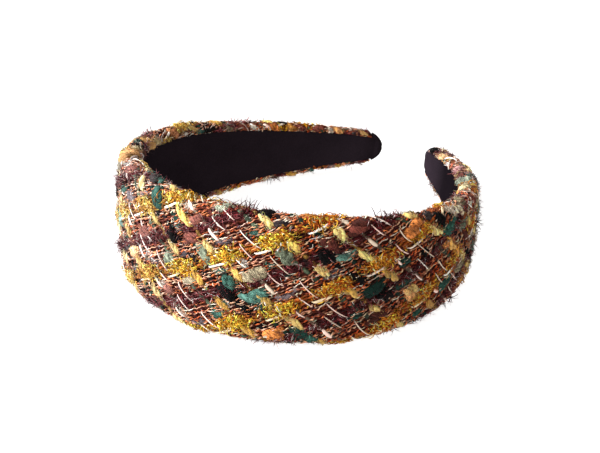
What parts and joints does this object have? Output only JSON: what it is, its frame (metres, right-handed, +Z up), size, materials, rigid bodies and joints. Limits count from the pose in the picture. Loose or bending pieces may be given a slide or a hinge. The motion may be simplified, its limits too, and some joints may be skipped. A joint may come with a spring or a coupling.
{
  "type": "boucle headband",
  "caption": "Wide padded headband bent into a horseshoe, covered in boucle tweed and lined inside, tapering to two rounded tips.",
  "frame": {"origin": "centre of the bottom of the bounding box, on the surface that the band's lower edge rests on", "axes": "+Z up across the band's width, +Y from the crown of the bend toward the two open tips, +X across the band from side to side"},
  "size_m": [0.123, 0.1452, 0.0434],
  "materials": {
    "boucle_tweed": "loose fancy-yarn tweed in plum, copper, gold, mustard, teal, black and cream, with slubs and short hairs",
    "lining_fabric": "matt black short-napped fabric"
  },
  "bodies": {
    "root": {"cover": "boucle_tweed", "lining": "lining_fabric"}
  },
  "joints": []
}
